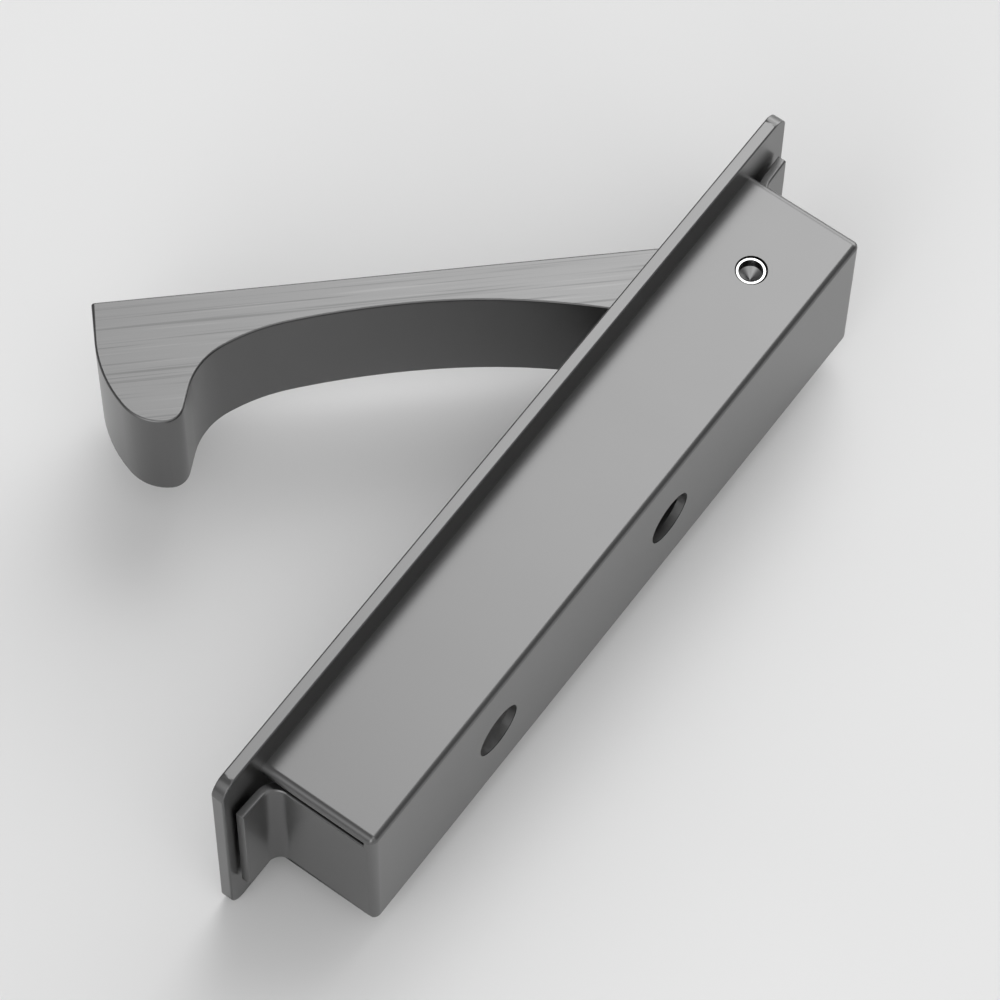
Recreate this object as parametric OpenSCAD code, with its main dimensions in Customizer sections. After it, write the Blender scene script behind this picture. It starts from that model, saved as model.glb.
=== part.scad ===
// Recessed edge pull for a sliding door: a face plate, a folded sheet housing behind it
// and a hooked lever that swings out through the slot in the plate.
// All sizes are in millimetres. X runs along the plate towards the pin's end, Y out of the
// plate's front and Z along the pin. The origin is the middle of the plate's back face.

/* [Face plate] */
// Length of the face plate
plate_length = 100; // [99:0.5:112]
// Width of the face plate
plate_width = 29.3; // [26:0.1:34]
// Thickness of the face plate
plate_thickness = 1.5; // [1:0.1:2]
// Radius of the face plate's four corners
plate_corner_r = 2.2; // [0.5:0.1:4]
// Round along the face plate's edges
plate_edge_r = 0.2; // [0.1:0.05:0.45]

/* [Housing] */
// Length of the housing over its end walls
housing_length = 87.7; // [86:0.1:90]
// Width of the housing over its cheeks
housing_width = 20.6; // [19.8:0.1:23]
// Depth of the housing behind the face plate
housing_depth = 14.35; // [14.15:0.05:18]
// Thickness of the sheet that the housing is folded from
sheet = 1; // [0.8:0.05:1.3]
// Gap between a cheek and the edge of an end wall
seam_gap = 1.15; // [0.5:0.05:1.4]
// Inside radius of the fold from an end wall to its tab
tab_fold_r = 2; // [1:0.1:3]
// Reach of a tab beyond its end wall
tab_reach = 4.7; // [4:0.1:5.5]
// Gap between a tab and the back of the face plate
tab_gap = 0.5; // [0.1:0.05:0.8]
// Radius of a tab's outer corners
tab_corner_r = 0.5; // [0.2:0.1:1.5]

/* [Fixing holes] */
// Radius of the two fixing holes in the back wall
fixing_hole_r = 3.2; // [2:0.05:4]
// Distance between the fixing holes
fixing_spacing = 31; // [24:0.1:36]
// Distance from the plate's middle to the middle of the two holes, away from the pin
fixing_offset = 6.65; // [3:0.05:9]

/* [Pivot] */
// Distance of the pin from the plate's middle
pin_x = 33.8; // [32:0.1:35]
// Radius of the pin
pin_r = 1.75; // [1.2:0.05:2]
// Running clearance between the pin and the bores of the lever and the washers, on the radius
pin_play = 0.05; // [0.02:0.01:0.1]
// Clearance between the pin and its holes in the cheeks, on the radius
cheek_play = 0.08; // [0.03:0.01:0.1]
// Depth of each pin end below the face of its cheek
pin_recess = 0.12; // [0.05:0.01:0.4]
// Mouth radius of the conical dimple in each pin end
dimple_r = 1.35; // [0.8:0.05:1.5]
// Depth of the conical dimple
dimple_depth = 1.7; // [1:0.1:2.5]

/* [Washers] */
// Outer radius of the washers on the pin
washer_r = 4.4; // [3.5:0.1:5.4]
// Thickness of the washer between the wave washer and the upper cheek
upper_washer_t = 0.9; // [0.6:0.05:1.1]
// Thickness of the wave washer's sheet
wave_sheet = 0.25; // [0.15:0.01:0.35]
// Number of waves around the wave washer
wave_count = 3; // [2:1:4]
// Clearance between pieces stacked on the pin
stack_play = 0.04; // [0.02:0.01:0.08]

/* [Lever] */
// Thickness of the lever
lever_thickness = 15; // [13:0.1:15.4]
// Distance from the pin to the lever's tip, along its straight edge
lever_reach = 70.6; // [66:0.1:72]
// Radius of the lever's round end, which is also the straight edge's distance from the pin
lever_end_r = 5.6; // [5:0.05:5.9]
// Angle between the straight edge and the plate when the lever is open
open_angle = 47; // [40:1:50]

/* [Hook at the lever's tip] */
// Depth of the hook below the straight edge
hook_depth = 15.2; // [14.5:0.05:15.6]
// Length of the square end below the tip, up to the corner of the outer curve
hook_end_h = 9.1; // [8:0.05:9.3]
// Radius of the outer curve
hook_outer_r = 14.6; // [10:0.1:15]
// Distance from the tip to the corner where the hook's toe starts
hook_toe_x = 3.8; // [3.5:0.05:4]
// Radius of the toe on its outer side
hook_toe_r = 5; // [3:0.1:5.1]
// Distance from the tip to the hook's point
hook_point_x = 8.15; // [8:0.05:9]
// Radius of the hook's point
hook_point_r = 2; // [1:0.1:2.1]

/* [Arch under the lever] */
// Distance from the tip to the corner of the curve that leads out of the hook
neck_x = 10.45; // [10.25:0.05:10.65]
// Depth of that corner below the straight edge
neck_depth = 8.15; // [7.95:0.05:8.35]
// Radius of that curve
neck_r = 8.2; // [5:0.1:8.3]
// Distance from the tip to the corner of the next, flatter curve
rise_x = 17; // [16.8:0.05:17.5]
// Depth of that corner below the straight edge
rise_depth = 5.05; // [4.9:0.05:5.1]
// Radius of that curve
rise_r = 22; // [12:0.5:22.5]
// Distance from the tip to the corner of the arch's long curve
arch_x = 38.8; // [38:0.1:40]
// Depth of that corner below the straight edge
arch_depth = 2.15; // [2:0.05:2.3]
// Radius of the arch's long curve
arch_r = 88; // [60:1:88]

/* [Clearances] */
// Gap between the lever's round end and the housing's back wall
lever_back_gap = 0.9; // [0.6:0.05:1.1]
// Gap between the lever's faces and the slot's long sides
slot_side_gap = 0.8; // [0.3:0.1:1.2]
// Gap between the lever's straight edge and the slot's end that stops it
stop_gap = 0.1; // [0.05:0.05:0.3]
// Width of the ledge between the slot's far end and the housing's end wall
slot_ledge = 0.9; // [0.3:0.1:3]

/* [Hidden] */
$fn = 96;
// Overlap of a cutting shape past the face that it cuts
past = 1;
// Share by which a round's circle laps over its edges, so that the two cross instead of only touching
round_lap = 0.0001;
// Half sizes of the housing, outside and inside
half_l = housing_length / 2;
half_w = housing_width / 2;
inner_half_l = half_l - sheet;
inner_half_w = half_w - sheet;
inner_depth = housing_depth - sheet;
// Depth of the pin behind the face plate
pin_depth = inner_depth - lever_back_gap - lever_end_r;
// Outside radius of the housing's folds, a little under the sheet
fold_r = 0.95 * sheet;
// Half height of the end walls and their tabs, and where the seams beside them end
strap_half = inner_half_w - seam_gap;
seam_end_y = -(inner_depth - 0.2);
// Back face of a tab, the line where an end wall starts to fold outwards, and the tab's end
tab_back_y = -(tab_gap + sheet);
fold_start_y = tab_back_y - tab_fold_r;
fold_end_x = half_l + tab_fold_r;
tab_end_x = half_l + tab_reach;
// Radius of the bores in the lever and the washers
pin_bore_r = pin_r + pin_play;
// Free height beside the lever, which the washers fill
side_gap = inner_half_w - lever_thickness / 2;
lower_washer_t = side_gap - 2 * stack_play;
wave_height = side_gap - upper_washer_t - 3 * stack_play;
// Steps around the wave washer's ring
wave_steps = 72;
// The slot: its stopping end lies where the open lever's straight edge crosses the plate's back
slot_half_w = lever_thickness / 2 + slot_side_gap;
slot_stop_x = pin_x + (lever_end_r - pin_depth * cos(open_angle)) / sin(open_angle) + stop_gap;
slot_far_x = -(inner_half_l - slot_ledge);
// Its corners are no rounder than that gap, so that the lever's edges stay clear of them
slot_corner_r = slot_side_gap;

// The lever's outline in its own frame: pin at the origin, straight edge along X at lever_end_r,
// tip at -lever_reach. Each corner is [x, y, round].
arch_corner = [arch_x - lever_reach, lever_end_r - arch_depth];
// Slope of the line from the arch's corner that just meets the round end, and where it meets it
under_angle = atan2(-arch_corner[1], -arch_corner[0]) - asin(lever_end_r / norm(arch_corner));
under_r = lever_end_r * (1 - round_lap);
lever_outline = [
    [-lever_reach, lever_end_r, 0],
    [-lever_reach, lever_end_r - hook_end_h, hook_outer_r],
    [hook_toe_x - lever_reach, lever_end_r - hook_depth, hook_toe_r],
    [hook_point_x - lever_reach, lever_end_r - hook_depth, hook_point_r],
    [neck_x - lever_reach, lever_end_r - neck_depth, neck_r],
    [rise_x - lever_reach, lever_end_r - rise_depth, rise_r],
    [arch_corner[0], arch_corner[1], arch_r],
    [under_r * sin(under_angle), -under_r * cos(under_angle), 0],
    [0, 0, 0],
    [0, lever_end_r, 0]
];

function unit(v) = v / norm(v);
function cross_z(a, b) = a[0] * b[1] - a[1] * b[0];
function flat(p) = [p[0], p[1]];

// Prism along Z, centred, of an outline whose corners carry rounds: [[x, y, round], ...], anticlockwise
module rounded_prism(pts, height) {
    n = len(pts);
    difference() {
        union() {
            linear_extrude(height = height, center = true) polygon([for (p = pts) flat(p)]);
            for (i = [0 : n - 1])
                corner(pts[(i + n - 1) % n], pts[i], pts[(i + 1) % n], -1, height);
        }
        for (i = [0 : n - 1])
            corner(pts[(i + n - 1) % n], pts[i], pts[(i + 1) % n], 1, height + 2 * past);
    }
}

// The piece between a corner and its round, if the corner turns the way that side asks for:
// 1 for an outer corner, where it is cut away, and -1 for an inner one, where it is filled
module corner(before, at, after, side, height) {
    u = unit(flat(before) - flat(at));
    v = unit(flat(after) - flat(at));
    r = at[2];
    half = acos(u * v) / 2;
    out = -unit(u + v);
    centre = flat(at) - out * r / sin(half);
    spread = (r + 0.4) / r;
    if (r > 0 && cross_z(v, u) * side > 0)
        linear_extrude(height = height, center = true)
            difference() {
                polygon([
                    centre,
                    centre + (flat(at) + u * r / tan(half) - centre) * spread,
                    flat(at) + out * 0.4 / sin(half),
                    centre + (flat(at) + v * r / tan(half) - centre) * spread
                ]);
                translate(centre) circle(r * (1 + round_lap));
            }
}

// Block with round corners, centred: w along X, h along Y, t along Z
module rounded_block(w, h, r, t) {
    rounded_prism([[-w / 2, -h / 2, r], [w / 2, -h / 2, r], [w / 2, h / 2, r], [-w / 2, h / 2, r]], t);
}

// Flat plate with a stamped slot, round corners and softened edges
module face_plate() {
    color("darkgray")
    translate([0, plate_thickness / 2, 0])
    difference() {
        intersection() {
            rotate([90, 0, 0]) rounded_block(plate_length, plate_width, plate_corner_r, plate_thickness);
            rotate([90, 0, 90]) rounded_block(plate_thickness, plate_width, plate_edge_r, plate_length);
            rounded_block(plate_length, plate_thickness, plate_edge_r, plate_width);
        }
        translate([(slot_far_x + slot_stop_x) / 2, 0, 0])
            rotate([90, 0, 0])
                rounded_block(
                    slot_stop_x - slot_far_x, 2 * slot_half_w, slot_corner_r, plate_thickness + 2 * past
                );
    }
}

// Block of the housing's outer shape: round along its back edges, its back corners and its end edges
module housing_block() {
    l = half_l - fold_r;
    w = half_w - fold_r;
    d = housing_depth - fold_r;
    translate([-half_l, -d, -w]) cube([2 * half_l, d, 2 * w]);
    translate([-l, -d, -half_w]) cube([2 * l, d, 2 * half_w]);
    translate([-l, -housing_depth, -w]) cube([2 * l, housing_depth, 2 * w]);
    for (z = [-w, w])
        translate([0, -d, z]) rotate([0, 90, 0]) cylinder(r = fold_r, h = 2 * l, center = true);
    for (x = [-l, l]) {
        translate([x, -d, 0]) cylinder(r = fold_r, h = 2 * w, center = true);
        for (z = [-w, w]) {
            translate([x, 0, z]) rotate([90, 0, 0]) cylinder(r = fold_r, h = d);
            translate([x, -d, z]) sphere(fold_r);
        }
    }
}

// End wall with its fold outwards, and the tab that lies behind the face plate's end
module end_strap() {
    linear_extrude(height = 2 * strap_half, center = true) {
        translate([inner_half_l, seam_end_y]) square([sheet, fold_start_y - seam_end_y]);
        intersection() {
            difference() {
                translate([fold_end_x, fold_start_y]) circle(tab_fold_r + sheet);
                translate([fold_end_x, fold_start_y]) circle(tab_fold_r);
            }
            translate([inner_half_l, fold_start_y]) square(tab_fold_r + sheet);
        }
    }
    translate([0, tab_back_y + sheet / 2, 0])
        rotate([90, 0, 0])
            rounded_prism([
                [fold_end_x, -strap_half, 0], [tab_end_x, -strap_half, tab_corner_r],
                [tab_end_x, strap_half, tab_corner_r], [fold_end_x, strap_half, 0]
            ], sheet);
}

// Housing folded from one sheet: back wall, two cheeks, and two end walls with their tabs
module housing() {
    color("dimgray")
    union() {
        difference() {
            housing_block();
            // Hollow between the cheeks, open at both ends in front of the seams' ends
            linear_extrude(height = 2 * inner_half_w, center = true)
                polygon([
                    [-inner_half_l, -inner_depth], [inner_half_l, -inner_depth],
                    [inner_half_l, seam_end_y], [half_l + past, seam_end_y],
                    [half_l + past, past], [-half_l - past, past],
                    [-half_l - past, seam_end_y], [-inner_half_l, seam_end_y]
                ]);
            for (side = [-1, 1])
                translate([side * fixing_spacing / 2 - fixing_offset, -inner_depth + past, 0])
                    rotate([90, 0, 0]) cylinder(r = fixing_hole_r, h = sheet + 2 * past);
            translate([pin_x, -pin_depth, 0])
                cylinder(r = pin_r + cheek_play, h = housing_width + 2 * past, center = true);
        }
        end_strap();
        mirror([1, 0, 0]) end_strap();
    }
}

// Thick flat lever: straight outer edge, finger hook at the tip, round end on the pin
module lever() {
    color("gray")
    translate([pin_x, -pin_depth, 0]) rotate([0, 0, -open_angle])
    difference() {
        union() {
            rounded_prism(lever_outline, lever_thickness);
            cylinder(r = lever_end_r, h = lever_thickness, center = true);
        }
        cylinder(r = pin_bore_r, h = lever_thickness + 2 * past, center = true);
    }
}

// Pin with a conical dimple in each end
module pivot_pin() {
    pin_half = half_w - pin_recess;
    color("gainsboro")
    translate([pin_x, -pin_depth, 0])
    difference() {
        cylinder(r = pin_r, h = 2 * pin_half, center = true);
        for (end = [0, 1])
            mirror([0, 0, end])
                translate([0, 0, pin_half - dimple_depth]) cylinder(r1 = 0, r2 = dimple_r, h = dimple_depth);
    }
}

// Flat ring on the pin, resting at height z
module washer(z, t) {
    translate([pin_x, -pin_depth, z])
    difference() {
        cylinder(r = washer_r, h = t);
        translate([0, 0, -past]) cylinder(r = pin_bore_r, h = t + 2 * past);
    }
}

// Spacer between the lower cheek and the lever
module lower_washer() {
    color("silver") washer(-inner_half_w + stack_play, lower_washer_t);
}

// Spacer between the wave washer and the upper cheek
module upper_washer() {
    color("silver") washer(inner_half_w - stack_play - upper_washer_t, upper_washer_t);
}

// Ring bent into waves, which presses on the lever so that it stays where it is put
module wave_washer() {
    inner_r = pin_bore_r + 0.2;
    outer_r = washer_r - 0.4;
    swing = (wave_height - wave_sheet) / 2;
    function lift(i) = swing * (1 + cos(360 * wave_count * i / wave_steps));
    function at(i, r, z) = [r * cos(360 * i / wave_steps), r * sin(360 * i / wave_steps), z + lift(i)];
    points = [for (i = [0 : wave_steps - 1])
        each [at(i, inner_r, 0), at(i, outer_r, 0), at(i, outer_r, wave_sheet), at(i, inner_r, wave_sheet)]];
    faces = [for (i = [0 : wave_steps - 1], k = [0 : 3])
        let (j = (i + 1) % wave_steps, m = (k + 1) % 4)
        each [[4 * i + k, 4 * i + m, 4 * j + m], [4 * i + k, 4 * j + m, 4 * j + k]]];
    color("silver")
    translate([pin_x, -pin_depth, lever_thickness / 2 + stack_play]) polyhedron(points, faces);
}

face_plate();
housing();
lever();
pivot_pin();
lower_washer();
upper_washer();
wave_washer();
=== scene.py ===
"""Looks of the recessed pull handle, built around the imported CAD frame."""
import math

import bpy
import bmesh
from mathutils import Matrix, Vector


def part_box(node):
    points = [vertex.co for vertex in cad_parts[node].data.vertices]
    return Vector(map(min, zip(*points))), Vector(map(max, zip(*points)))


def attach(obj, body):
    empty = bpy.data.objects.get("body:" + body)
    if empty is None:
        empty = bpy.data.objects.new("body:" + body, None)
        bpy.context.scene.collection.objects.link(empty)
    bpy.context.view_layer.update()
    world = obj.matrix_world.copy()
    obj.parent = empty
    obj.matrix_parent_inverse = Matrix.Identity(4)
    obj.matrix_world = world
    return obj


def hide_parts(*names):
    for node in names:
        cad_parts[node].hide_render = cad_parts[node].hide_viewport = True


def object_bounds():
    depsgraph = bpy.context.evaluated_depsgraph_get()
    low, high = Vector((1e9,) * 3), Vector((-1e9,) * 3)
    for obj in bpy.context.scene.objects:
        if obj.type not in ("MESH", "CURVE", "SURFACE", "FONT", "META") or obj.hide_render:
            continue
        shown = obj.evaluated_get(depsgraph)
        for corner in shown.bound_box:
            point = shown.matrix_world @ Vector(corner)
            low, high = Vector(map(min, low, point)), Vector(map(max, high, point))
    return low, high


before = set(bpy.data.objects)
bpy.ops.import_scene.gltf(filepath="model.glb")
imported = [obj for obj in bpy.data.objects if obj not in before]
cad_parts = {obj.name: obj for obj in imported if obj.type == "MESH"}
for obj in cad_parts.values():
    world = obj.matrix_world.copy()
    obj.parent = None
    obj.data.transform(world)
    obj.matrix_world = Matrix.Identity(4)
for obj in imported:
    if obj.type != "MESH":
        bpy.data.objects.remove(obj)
cad_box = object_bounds()

MM = 0.001
# Measures that differ by less than this count as the same
NEAR = 0.02 * MM

# The direction of the lever's brushed lines, which is also its straight edge's, and the one across
# them, out of that edge, in the plane of its flat faces
LINES_ALONG = (0.682, -0.731, 0.0)
LINES_ACROSS = (0.731, 0.682, 0.0)

# The housing's sheet in the solids: its thickness, its back face, its cheeks' outer faces, the outer
# radius of its two long folds, and its end walls' inner and outer faces
SHEET = 1.0 * MM
BACK_Y = -14.35 * MM
CHEEK_Z = 10.3 * MM
FOLD_R = 0.95 * MM
WALL_IN, WALL_OUT = 42.85 * MM, 43.85 * MM

# Each end wall and its tab are one bent strap. In the solids: half its height, its tab's back face, end
# and corners' radius, and its bend's centre and the radius on its back
STRAP_HALF = 8.15 * MM
TAB_BACK = -1.5 * MM
TAB_END_X = 48.55 * MM
TAB_CORNER_R = 0.5 * MM
BEND_X, BEND_Y, BEND_R = 45.85 * MM, -3.5 * MM, 2.0 * MM

# What the photo shows otherwise than the solids: how much farther down the straps reach, how much
# tighter bends and folds are, how much closer to the plate the tabs' ends lie, and how far the pin and
# its holes in the cheeks lie off the joint's axis
STRAP_DROP = 1.1 * MM
BEND_TIGHTER = 0.3 * MM
FOLD_TIGHTER = 0.25 * MM
TAB_CLOSER = 0.12 * MM
PIN_SHIFT = Vector((0.09, 0.07)) * MM
HOLE_SHIFT = Vector((0.14, 0.04)) * MM
HOLE_SCALE = 1.72 / 1.75
# The slot's end away from the pin lies farther in, since no light shows past it in the photo. In the
# solids it lies at this X, with its rounded edge this far before it and its corners this far past it
SLOT_END_SHIFT = 1.1 * MM
SLOT_END_X = -41.95 * MM
SLOT_EDGE, SLOT_CORNER = 0.3 * MM, 2.5 * MM
# The lever's free end is this much fuller on its sides, and thicker by this share. Both set in over
# these distances from the joint's axis
LEVER_FULLER, FULLER_REACH = 0.2 * MM, (25 * MM, 45 * MM)
LEVER_THICKER, THICKER_REACH = 0.0267, (15 * MM, 35 * MM)

# The turned pin: its radius and the round of its rim, the radius of the hole's mouth in each end with
# the width and depth of its chamfer, how deep the hole is and how high the drill's point, and the steps
# round it
PIN_R, PIN_RIM = 1.65 * MM, 0.06 * MM
PIN_MOUTH, MOUTH_WIDTH, MOUTH_DEPTH = 1.38 * MM, 0.03 * MM, 0.06 * MM
DRILL_DEPTH, DRILL_POINT = 1.25 * MM, 0.75 * MM
PIN_STEPS = 72
PIN_LOW, PIN_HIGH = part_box("pivot_pin")
PIN_AXIS = Vector(((PIN_LOW[0] + PIN_HIGH[0]) / 2, (PIN_LOW[1] + PIN_HIGH[1]) / 2))


class Nodes:
    """Short calls that add nodes to a node tree."""

    def __init__(self, tree):
        self.tree = tree

    def add(self, kind, **values):
        node = self.tree.nodes.new(kind)
        for key, value in values.items():
            setattr(node, key, value)
        return node

    def put(self, node, values):
        """Sets a node's inputs, given by name or number, to values or links them to other sockets."""
        for key, value in values.items():
            if isinstance(value, (int, float, tuple)):
                node.inputs[key].default_value = value
            else:
                self.tree.links.new(value, node.inputs[key])

    def fill(self, node, *values):
        """Puts values into a node's first inputs, and gives its first output."""
        self.put(node, dict(enumerate(values)))
        return node.outputs[0]

    def math(self, op, *values):
        return self.fill(self.add("ShaderNodeMath", operation=op), *values)

    def dot(self, vector, axis):
        node = self.add("ShaderNodeVectorMath", operation="DOT_PRODUCT")
        self.fill(node, vector, axis)
        return node.outputs["Value"]

    def vector(self, x, y, z):
        return self.fill(self.add("ShaderNodeCombineXYZ"), x, y, z)

    def split(self, vector):
        node = self.add("ShaderNodeSeparateXYZ")
        self.fill(node, vector)
        return node.outputs

    def noise(self, vector, scale, detail=2.0):
        node = self.add("ShaderNodeTexNoise")
        self.put(node, {"Vector": vector, "Scale": scale, "Detail": detail})
        return node.outputs["Fac"]

    def step(self, value, low, high):
        """0 up to low, 1 from high on, and a smooth rise between them."""
        node = self.add("ShaderNodeMapRange", interpolation_type="SMOOTHSTEP")
        return self.fill(node, value, low, high, 0.0, 1.0)

    def mix(self, fac, a, b):
        """Color a where fac is 0, color b where it is 1, and a blend of them between."""
        node = self.add("ShaderNodeMix", data_type="RGBA")
        self.put(node, {"Factor": fac, "A": a, "B": b})
        return node.outputs["Result"]

    def grey(self, fac, dark, light):
        return self.mix(fac, (dark, dark, dark, 1), (light, light, light, 1))


class Surface(Nodes):
    """A new material with a Principled shader, and the place in the object's own coordinates."""

    def __init__(self, name):
        self.mat = bpy.data.materials.new(name)
        self.mat.use_nodes = True
        super().__init__(self.mat.node_tree)
        self.tree.nodes.clear()
        self.shader = self.add("ShaderNodeBsdfPrincipled")
        self.put(self.add("ShaderNodeOutputMaterial"), {"Surface": self.shader.outputs[0]})
        self.place = self.add("ShaderNodeTexCoord").outputs["Object"]

    def shade(self, color, rough, metallic):
        self.put(self.shader, {"Base Color": color, "Roughness": rough, "Metallic": metallic})

    def bump(self, height, strength, distance):
        node = self.add("ShaderNodeBump")
        self.put(node, {"Height": height, "Strength": strength, "Distance": distance})
        self.put(self.shader, {"Normal": node.outputs[0]})

    def inside(self, low, high):
        """1 in the box between two corners, and 0 outside it."""
        within = 1.0
        for value, a, b in zip(self.split(self.place), low, high):
            off = self.math("ABSOLUTE", self.math("SUBTRACT", value, (a + b) / 2))
            within = self.math("MULTIPLY", within, self.math("LESS_THAN", off, (b - a) / 2))
        return within


# The grain of all satin metal and its cloudiness, as scales of noise, how deep the grain is, and how
# far the cloudiness changes the tone and the roughness
GRAIN, CLOUD = 9000, 70
GRAIN_DEPTH = 0.02 * MM
TONE_SPREAD = 0.03
ROUGH_SPREAD = 0.03


def satin_metal(name, tone, rough, painted_light_box=None):
    """Satin metal with a fine even grain and a faint cloudiness. Its last argument is the low and the
    high corner of a box in which another tone is painted in as light, and that tone."""
    n = Surface(name)
    fine = n.noise(n.place, GRAIN)
    cloud = n.noise(n.place, CLOUD, 3.0)
    mixed = n.math("MULTIPLY_ADD", n.math("SUBTRACT", cloud, fine), 0.5, fine)

    def shades(middle):
        return n.grey(mixed, middle * (1 - TONE_SPREAD), middle * (1 + TONE_SPREAD))

    color = shades(tone)
    # Inside the box the metal takes the other tone, which is painted light
    if painted_light_box:
        low, high, painted_inner_tone = painted_light_box
        color = n.mix(n.inside(low, high), color, shades(painted_inner_tone))
    n.shade(color, n.math("MULTIPLY_ADD", mixed, 2 * ROUGH_SPREAD, rough - ROUGH_SPREAD), 1.0)
    n.bump(fine, 0.03, GRAIN_DEPTH)
    return n.mat


def brushed_metal(name, tone, rough):
    """The lever's metal: brushed along its straight edge on its two flat faces, and smooth round its
    sides."""
    n = Surface(name)
    along = n.dot(n.place, LINES_ALONG)
    across = n.dot(n.place, LINES_ACROSS)
    upward = n.split(n.add("ShaderNodeTexCoord").outputs["Normal"])[2]
    flat = n.step(n.math("ABSOLUTE", upward), 0.9, 0.98)
    face = n.math("MULTIPLY", n.math("SIGN", upward), 3.7)

    def lines(length, width, seed, detail):
        """Noise drawn out along the lines, other on each flat face, with cells of the given length and
        width in mm."""
        return n.noise(n.vector(n.math("MULTIPLY", along, 1 / (length * MM)),
                                n.math("MULTIPLY", across, 1 / (width * MM)),
                                n.math("ADD", face, seed)), 1.0, detail)

    # Dark lines, pale ones half as strong, and hairlines that go both ways
    deep = n.step(lines(length=26.0, width=0.25, seed=11.0, detail=1.0), 0.54, 0.70)
    pale = n.step(lines(length=20.0, width=0.24, seed=29.0, detail=1.0), 0.58, 0.74)
    hair = lines(length=14.0, width=0.13, seed=47.0, detail=2.0)
    marks = n.math("SUBTRACT", n.math("MULTIPLY", pale, 0.5), deep)
    marks = n.math("ADD", marks, n.math("MULTIPLY_ADD", hair, 0.5, -0.25))
    marks = n.math("MULTIPLY", marks, flat)
    # The tint's middle, and how far the lines and the grain change it
    middle, by_lines, by_grain = 0.46, 0.42, 0.06
    fine = n.noise(n.place, GRAIN)
    tint = n.math("MULTIPLY_ADD", marks, by_lines, middle)
    tint = n.math("MULTIPLY_ADD", fine, by_grain, tint)
    n.shade(n.grey(tint, tone * 0.82, tone * 1.18),
            n.math("MULTIPLY_ADD", marks, -ROUGH_SPREAD, rough), 1.0)
    n.bump(n.math("MULTIPLY_ADD", fine, 0.2, marks), 0.05, GRAIN_DEPTH)
    return n.mat


def turned_metal(name, axis, mouth, tone, painted_inner_tone, rough):
    """The pin's metal: bright and turned in fine rings round its axis, and darker in its drilled ends,
    where shade is painted into the colour."""
    n = Surface(name)
    place = n.split(n.place)
    dx = n.math("SUBTRACT", place[0], axis[0])
    dy = n.math("SUBTRACT", place[1], axis[1])
    radius = n.math("SQRT", n.math("MULTIPLY_ADD", dx, dx, n.math("MULTIPLY", dy, dy)))
    rings = n.noise(n.vector(n.math("MULTIPLY", radius, 14000.0), 0.0, 0.0), 1.0, 1.0)
    # Within the hole's mouth the tone falls to the darker one, which is painted shade
    outside = n.step(radius, mouth - MOUTH_WIDTH, mouth)
    tint = n.math("MULTIPLY_ADD", rings, 0.1, n.math("MULTIPLY", outside, 0.9))
    n.shade(n.grey(tint, painted_inner_tone, tone), n.math("MULTIPLY_ADD", rings, 0.05, rough - 0.02), 1.0)
    n.bump(rings, 0.1, 0.01 * MM)
    return n.mat


def paint(obj, mat):
    obj.data.materials.clear()
    obj.data.materials.append(mat)


# The housing's sheet has a lighter tone inside and round its fixing holes, painted light that
# brightens the shaded inside, in a box that ends a little way into the sheet and short of its outer
# faces
INTO = 0.05 * MM
HOLLOW_PAINTED_LIGHT = ((-WALL_IN - INTO, BACK_Y + 2 * INTO, -(CHEEK_Z - SHEET) - INTO),
          (WALL_IN + INTO, -NEAR, CHEEK_Z - SHEET + INTO), 0.40)
STEEL_TONE, STEEL_ROUGH = 0.153, 0.30
steel = satin_metal("satin_steel", STEEL_TONE, STEEL_ROUGH)
housing_steel = satin_metal("satin_steel_hollow", STEEL_TONE, STEEL_ROUGH, HOLLOW_PAINTED_LIGHT)
washer_steel = satin_metal("washer_steel", tone=0.35, rough=0.3)
lever_steel = brushed_metal("lever_steel", tone=0.161, rough=0.30)
# The pin's darker tone in its drilled ends is painted shade
pin_steel = turned_metal("pin_steel", PIN_AXIS + PIN_SHIFT, PIN_MOUTH,
                         tone=0.62, painted_inner_tone=0.26, rough=0.16)
metals = {
    "face_plate": steel, "housing": housing_steel, "lever": lever_steel, "pivot_pin": pin_steel,
    "lower_washer": washer_steel, "upper_washer": washer_steel, "wave_washer": washer_steel,
}
for node_name, metal in metals.items():
    paint(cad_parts[node_name], metal)

# Edges that turn more than SHARP are rounded. Vertices closer than MERGE are merged, edges shorter than
# SLIVER are dissolved, and so are those that turn less than FLAT
SHARP = math.radians(28.0)
FLAT = math.radians(0.6)
MERGE, SLIVER = 0.004 * MM, 0.002 * MM
# Faces that turn less than 60 degrees from each other are shaded as one, but not round a cone's point,
# where more faces than this meet
SAME_SIDE = 0.5
POINT_FACES = 20


def add_object(name, data):
    obj = bpy.data.objects.new(name, data)
    bpy.context.scene.collection.objects.link(obj)
    return obj


def round_edges(bm, width, where):
    """Rounds the sharp edges for whose middle where() is true."""
    edges = [e for e in bm.edges if len(e.link_faces) == 2 and e.calc_face_angle(0.0) > SHARP
             and where((e.verts[0].co + e.verts[1].co) / 2)]
    bmesh.ops.bevel(bm, geom=edges, offset=width, offset_type="OFFSET", segments=3, profile=0.5,
                    affect="EDGES", clamp_overlap=True, miter_outer="SHARP", miter_inner="SHARP")


def corner_normals(bm):
    """For each corner of each face, the mean normal of the faces round its vertex on the same side,
    weighted by area, so that flat faces stay flat beside their rounded edges."""
    normals = {}
    for v in bm.verts:
        for face in v.link_faces:
            mean = Vector()
            for other in [face] if len(v.link_faces) > POINT_FACES else v.link_faces:
                if other.normal.dot(face.normal) > SAME_SIDE:
                    mean += other.normal * other.calc_area()
            normals[v.index, face.index] = mean.normalized()
    return normals


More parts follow.
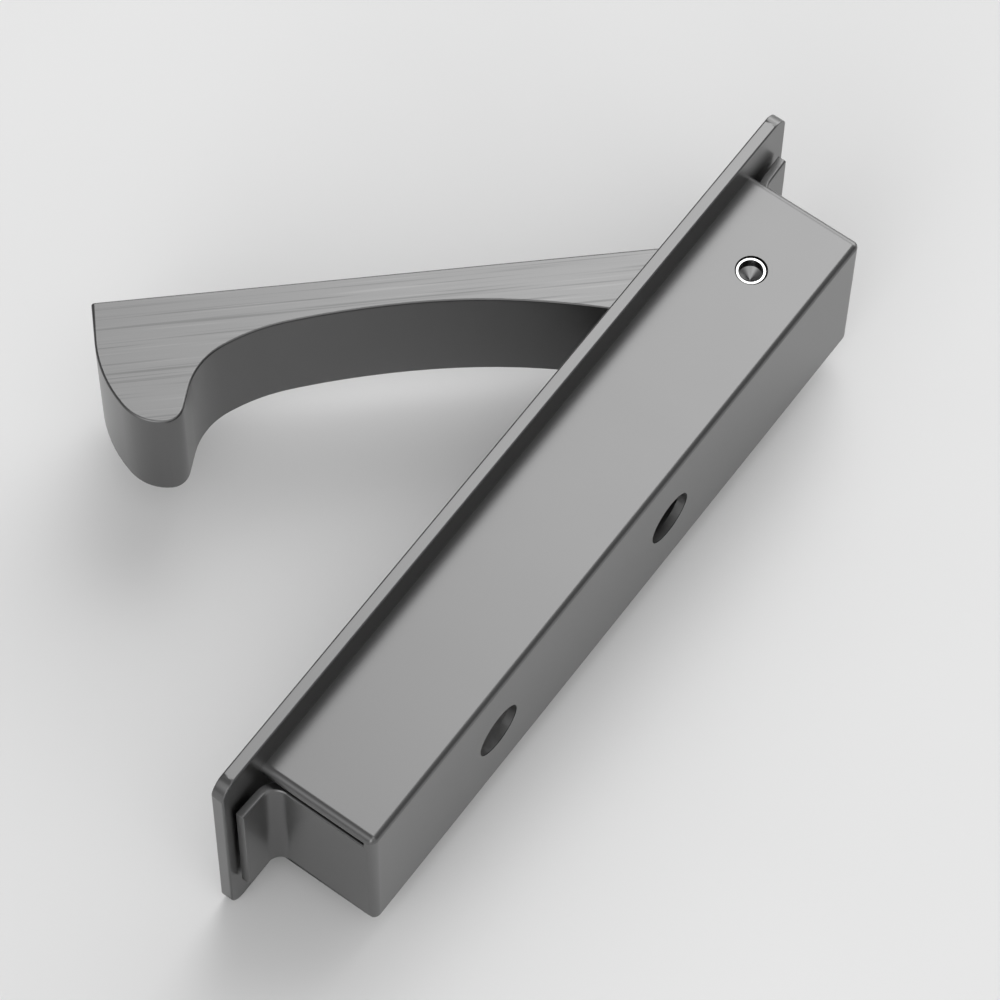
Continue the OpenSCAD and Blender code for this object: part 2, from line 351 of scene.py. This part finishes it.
def new_piece(name, bm, mat):
    """Turns a bmesh into a smooth-shaded object in the scene."""
    bm.normal_update()
    bm.verts.index_update()
    bm.faces.index_update()
    normals = corner_normals(bm)
    # Each triangle keeps the number of the face that it is cut from
    source = bm.faces.layers.int.new("source")
    for face in bm.faces:
        face[source] = face.index
        face.smooth = True
    bmesh.ops.triangulate(bm, faces=[f for f in bm.faces if len(f.verts) > 4])
    corners = [normals[loop.vert.index, face[source]] for face in bm.faces for loop in face.loops]
    bm.faces.layers.int.remove(source)
    mesh = bpy.data.meshes.new(name)
    bm.to_mesh(mesh)
    bm.free()
    mesh.normals_split_custom_set(corners)
    piece = add_object(name, mesh)
    paint(piece, mat)
    return piece


def stand_in(piece, node, body):
    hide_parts(node)
    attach(piece, body)


def refined(name, widths, before=None, change=None, body="case"):
    """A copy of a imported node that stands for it, with its flat faces merged and its sharp edges
    rounded: widths pairs each width with a test of where it goes. before and change alter the mesh
    ahead of the rounding and after it."""
    bm = bmesh.new()
    bm.from_mesh(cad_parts[name].data)
    if before:
        before(bm)
    bmesh.ops.remove_doubles(bm, verts=bm.verts, dist=MERGE)
    bmesh.ops.dissolve_degenerate(bm, dist=SLIVER, edges=bm.edges)
    bmesh.ops.dissolve_limit(bm, angle_limit=FLAT, verts=bm.verts, edges=bm.edges,
                             use_dissolve_boundaries=False)
    for width, where in widths:
        round_edges(bm, width, where)
    if change:
        change(bm)
    stand_in(new_piece(name + "_fine", bm, metals[name]), name, body)


def everywhere(p):
    return True


def fade(value, low, high):
    """0 up to low, 1 from high on, and a smooth rise between them."""
    t = min(max((value - low) / (high - low), 0.0), 1.0)
    return t * t * (3 - 2 * t)


def fuller(bm):
    """Makes the lever's free end a little fuller and thicker, but not past its straight edge or inside
    its hook."""
    bm.normal_update()
    moves = []
    for v in bm.verts:
        reach = (v.co.xy - PIN_AXIS).length
        out = v.normal.xy.normalized() if v.normal.xy.length > 1e-4 else Vector((0, 0))
        room = min(1.0, 1.0 - out.dot(Vector(LINES_ACROSS[:2])))
        room *= 1.0 - max(0.0, out.dot(Vector(LINES_ALONG[:2])))
        side = out * (LEVER_FULLER * room * fade(reach, *FULLER_REACH))
        moves.append((v, side, v.co.z * LEVER_THICKER * fade(reach, *THICKER_REACH)))
    for v, side, up in moves:
        v.co += Vector((side.x, side.y, up))


def square_tabs(bm):
    """Squares the tabs' outer corners, which the photo shows sharp."""
    for v in bm.verts:
        past_x = abs(v.co.x) - (TAB_END_X - TAB_CORNER_R)
        past_z = abs(v.co.z) - (STRAP_HALF - TAB_CORNER_R)
        if past_x > NEAR and NEAR < past_z < TAB_CORNER_R + NEAR:
            v.co.x = math.copysign(TAB_END_X, v.co.x)
            v.co.z = math.copysign(STRAP_HALF, v.co.z)


def strap_back(p):
    """The strap's top and bottom edges on the side that faces away from the plate."""
    x = abs(p.x)
    if abs(abs(p.z) - STRAP_HALF) > NEAR:
        return False
    if p.y < BEND_Y:
        return abs(x - WALL_OUT) < NEAR
    if x < BEND_X:
        return abs(math.hypot(x - BEND_X, p.y - BEND_Y) - BEND_R) < 3 * NEAR
    return abs(p.y - TAB_BACK) < NEAR


def strap_front(p):
    """The strap's other top and bottom edges."""
    return abs(p.x) > WALL_IN - NEAR and abs(abs(p.z) - STRAP_HALF) < NEAR and not strap_back(p)


def other_edges(p):
    """All edges but the strap's top and bottom ones and those that touch the face plate's back."""
    return p.y < -0.05 * MM and not strap_back(p) and not strap_front(p)


def fit_folds(bm):
    """Tightens the two long folds between the back wall and the cheeks."""
    for v in bm.verts:
        dy = v.co.y - (BACK_Y + FOLD_R)
        dz = abs(v.co.z) - (CHEEK_Z - FOLD_R)
        reach = math.hypot(dy, dz)
        if dy < NEAR and dz > -NEAR and reach > 0.5 * FOLD_R:
            scale = (reach - FOLD_TIGHTER) / reach
            v.co.y = BACK_Y + FOLD_R - FOLD_TIGHTER + dy * scale
            v.co.z = math.copysign(CHEEK_Z - FOLD_R + FOLD_TIGHTER + dz * scale, v.co.z)


def fit_housing(bm):
    """Tightens the folds, moves the pin's holes, tightens the straps' bends, bends their tabs' ends a
    little closer to the plate and lowers the straps' lower edges to the lower cheek."""
    # The pin's holes lie beyond this height and within this reach of the joint's axis, and the straps'
    # rounded lower edges are no higher than this
    cheek_from, hole_reach, edge_height = 9 * MM, 2.2 * MM, 0.4 * MM
    fit_folds(bm)
    for v in bm.verts:
        x = abs(v.co.x)
        off = v.co.xy - PIN_AXIS
        if abs(v.co.z) > cheek_from and off.length < hole_reach:
            v.co.xy = PIN_AXIS + HOLE_SHIFT + off * HOLE_SCALE
        if x < WALL_IN - NEAR or abs(v.co.z) > STRAP_HALF + NEAR:
            continue
        dx, dy = x - BEND_X, v.co.y - BEND_Y
        if dx < NEAR and dy > -NEAR:
            reach = math.hypot(dx, dy)
            scale = (reach - BEND_TIGHTER) / reach
            v.co.x = math.copysign(BEND_X - BEND_TIGHTER + dx * scale, v.co.x)
            v.co.y = BEND_Y + BEND_TIGHTER + dy * scale
        if x > BEND_X:
            v.co.y += TAB_CLOSER * (x - BEND_X) / (TAB_END_X - BEND_X)
        if v.co.z < -STRAP_HALF + edge_height:
            v.co.z -= STRAP_DROP


def fit_slot(bm):
    """Moves the slot's end away from the pin farther in."""
    for v in bm.verts:
        if SLOT_END_X - SLOT_EDGE < v.co.x < SLOT_END_X + SLOT_CORNER:
            v.co.x += SLOT_END_SHIFT


def pin_profile():
    """The pin's half section from the bottom up: the hole's point, wall and chamfer, then the end's
    ring and rim, and all of it mirrored."""
    top = PIN_HIGH[2]
    bottom = top - DRILL_DEPTH
    wall = PIN_MOUTH - MOUTH_WIDTH
    half = [(0.0, bottom - DRILL_POINT), (wall - NEAR, bottom - NEAR), (wall, bottom + NEAR),
            (wall, top - MOUTH_DEPTH), (PIN_MOUTH, top), (PIN_R - PIN_RIM, top),
            (PIN_R - 0.3 * PIN_RIM, top - 0.3 * PIN_RIM), (PIN_R, top - PIN_RIM)]
    return half + [(r, -z) for r, z in reversed(half)]


def turned_pin():
    """The hinge pin, turned about Z: a bright flat ring round a hole drilled into each end."""
    cx, cy = PIN_AXIS + PIN_SHIFT
    turns = [2 * math.pi * i / PIN_STEPS for i in range(PIN_STEPS)]
    bm = bmesh.new()
    rings = []
    for r, z in pin_profile():
        if r == 0.0:
            rings.append([bm.verts.new((cx, cy, z))] * PIN_STEPS)
        else:
            rings.append([bm.verts.new((cx + r * math.cos(t), cy + r * math.sin(t), z))
                          for t in turns])
    for lower, upper in zip(rings, rings[1:]):
        for i in range(PIN_STEPS):
            j = (i + 1) % PIN_STEPS
            corners = []
            for v in (lower[i], lower[j], upper[j], upper[i]):
                if v not in corners:
                    corners.append(v)
            bm.faces.new(corners)
    bmesh.ops.recalc_face_normals(bm, faces=bm.faces)
    stand_in(new_piece("pin_turned", bm, pin_steel), "pivot_pin", "case")


refined("lever", [(0.25 * MM, everywhere)], change=fuller, body="lever")
refined("face_plate", [(0.12 * MM, everywhere)], change=fit_slot)
refined("housing", [(0.28 * MM, strap_back), (0.05 * MM, strap_front), (0.12 * MM, other_edges)],
        before=square_tabs, change=fit_housing)
turned_pin()


def add_floor():
    """A pale floor under the part, far wider than the view."""
    half = 6.0
    bm = bmesh.new()
    for x, y in ((-half, -half), (half, -half), (half, half), (-half, half)):
        bm.verts.new((x, y, cad_box[0][2]))
    bm.faces.new(bm.verts)
    mesh = bpy.data.meshes.new("floor")
    bm.to_mesh(mesh)
    bm.free()
    floor = add_object("floor", mesh)
    n = Surface("floor")
    n.shade(n.grey(n.noise(n.place, 40), 0.805, 0.825), 0.9, 0.0)
    paint(floor, n.mat)


# The studio: an even dim light from all round, and soft panels, each with the azimuth and elevation of
# its middle in degrees, how tight it is, and its strength
AMBIENT = 0.25
PANELS = (
    (245, 68, 20, 1.325), (180, 45, 20, 1.716), (15, 22, 20, 2.661), (195, 22, 20, 2.022),
    (255, 22, 20, 0.749), (345, 22, 20, 2.146), (0, 3, 20, 1.507), (5, 53, 60, 1.301),
    (30, 53, 60, 1.970), (5, 63, 60, 1.244), (30, 63, 60, 2.958),
)


def add_world():
    world = bpy.data.worlds.new("studio")
    bpy.context.scene.world = world
    world.use_nodes = True
    n = Nodes(world.node_tree)
    way = n.add("ShaderNodeTexCoord").outputs["Generated"]
    light = AMBIENT
    for azimuth, elevation, tight, strength in PANELS:
        az, el = math.radians(azimuth), math.radians(elevation)
        middle = (math.cos(el) * math.cos(az), math.cos(el) * math.sin(az), math.sin(el))
        glow = n.math("EXPONENT", n.math("MULTIPLY_ADD", n.dot(way, middle), tight, -tight))
        light = n.math("MULTIPLY_ADD", glow, strength, light)
    n.put(world.node_tree.nodes["Background"], {"Color": (1, 1, 1, 1), "Strength": light})
    bpy.context.scene.view_settings.view_transform = "Standard"


# The camera was solved from the photo: its turn and shift from the part's frame to the view, and its
# focal length in pixels of the photo, which is PHOTO_PX wide
TURN = Vector((2.41754, -1.22237, 0.30684))
SHIFT = Vector((1.3727, 0.67275, 526.06133)) * MM
FOCAL_PX = 4910.33
PHOTO_PX = 1000.0


def add_camera():
    data = bpy.data.cameras.new("camera")
    data.sensor_width = 36.0
    data.lens = FOCAL_PX * data.sensor_width / PHOTO_PX
    data.clip_start = 0.01
    data.clip_end = 50.0
    camera = add_object("camera", data)
    to_view = Matrix.Rotation(TURN.length, 3, TURN.normalized())
    axes = Matrix((to_view[0], -to_view[1], -to_view[2])).transposed()
    camera.matrix_world = Matrix.Translation(-(to_view.transposed() @ SHIFT)) @ axes.to_4x4()
    bpy.context.scene.camera = camera


add_floor()
add_world()
add_camera()
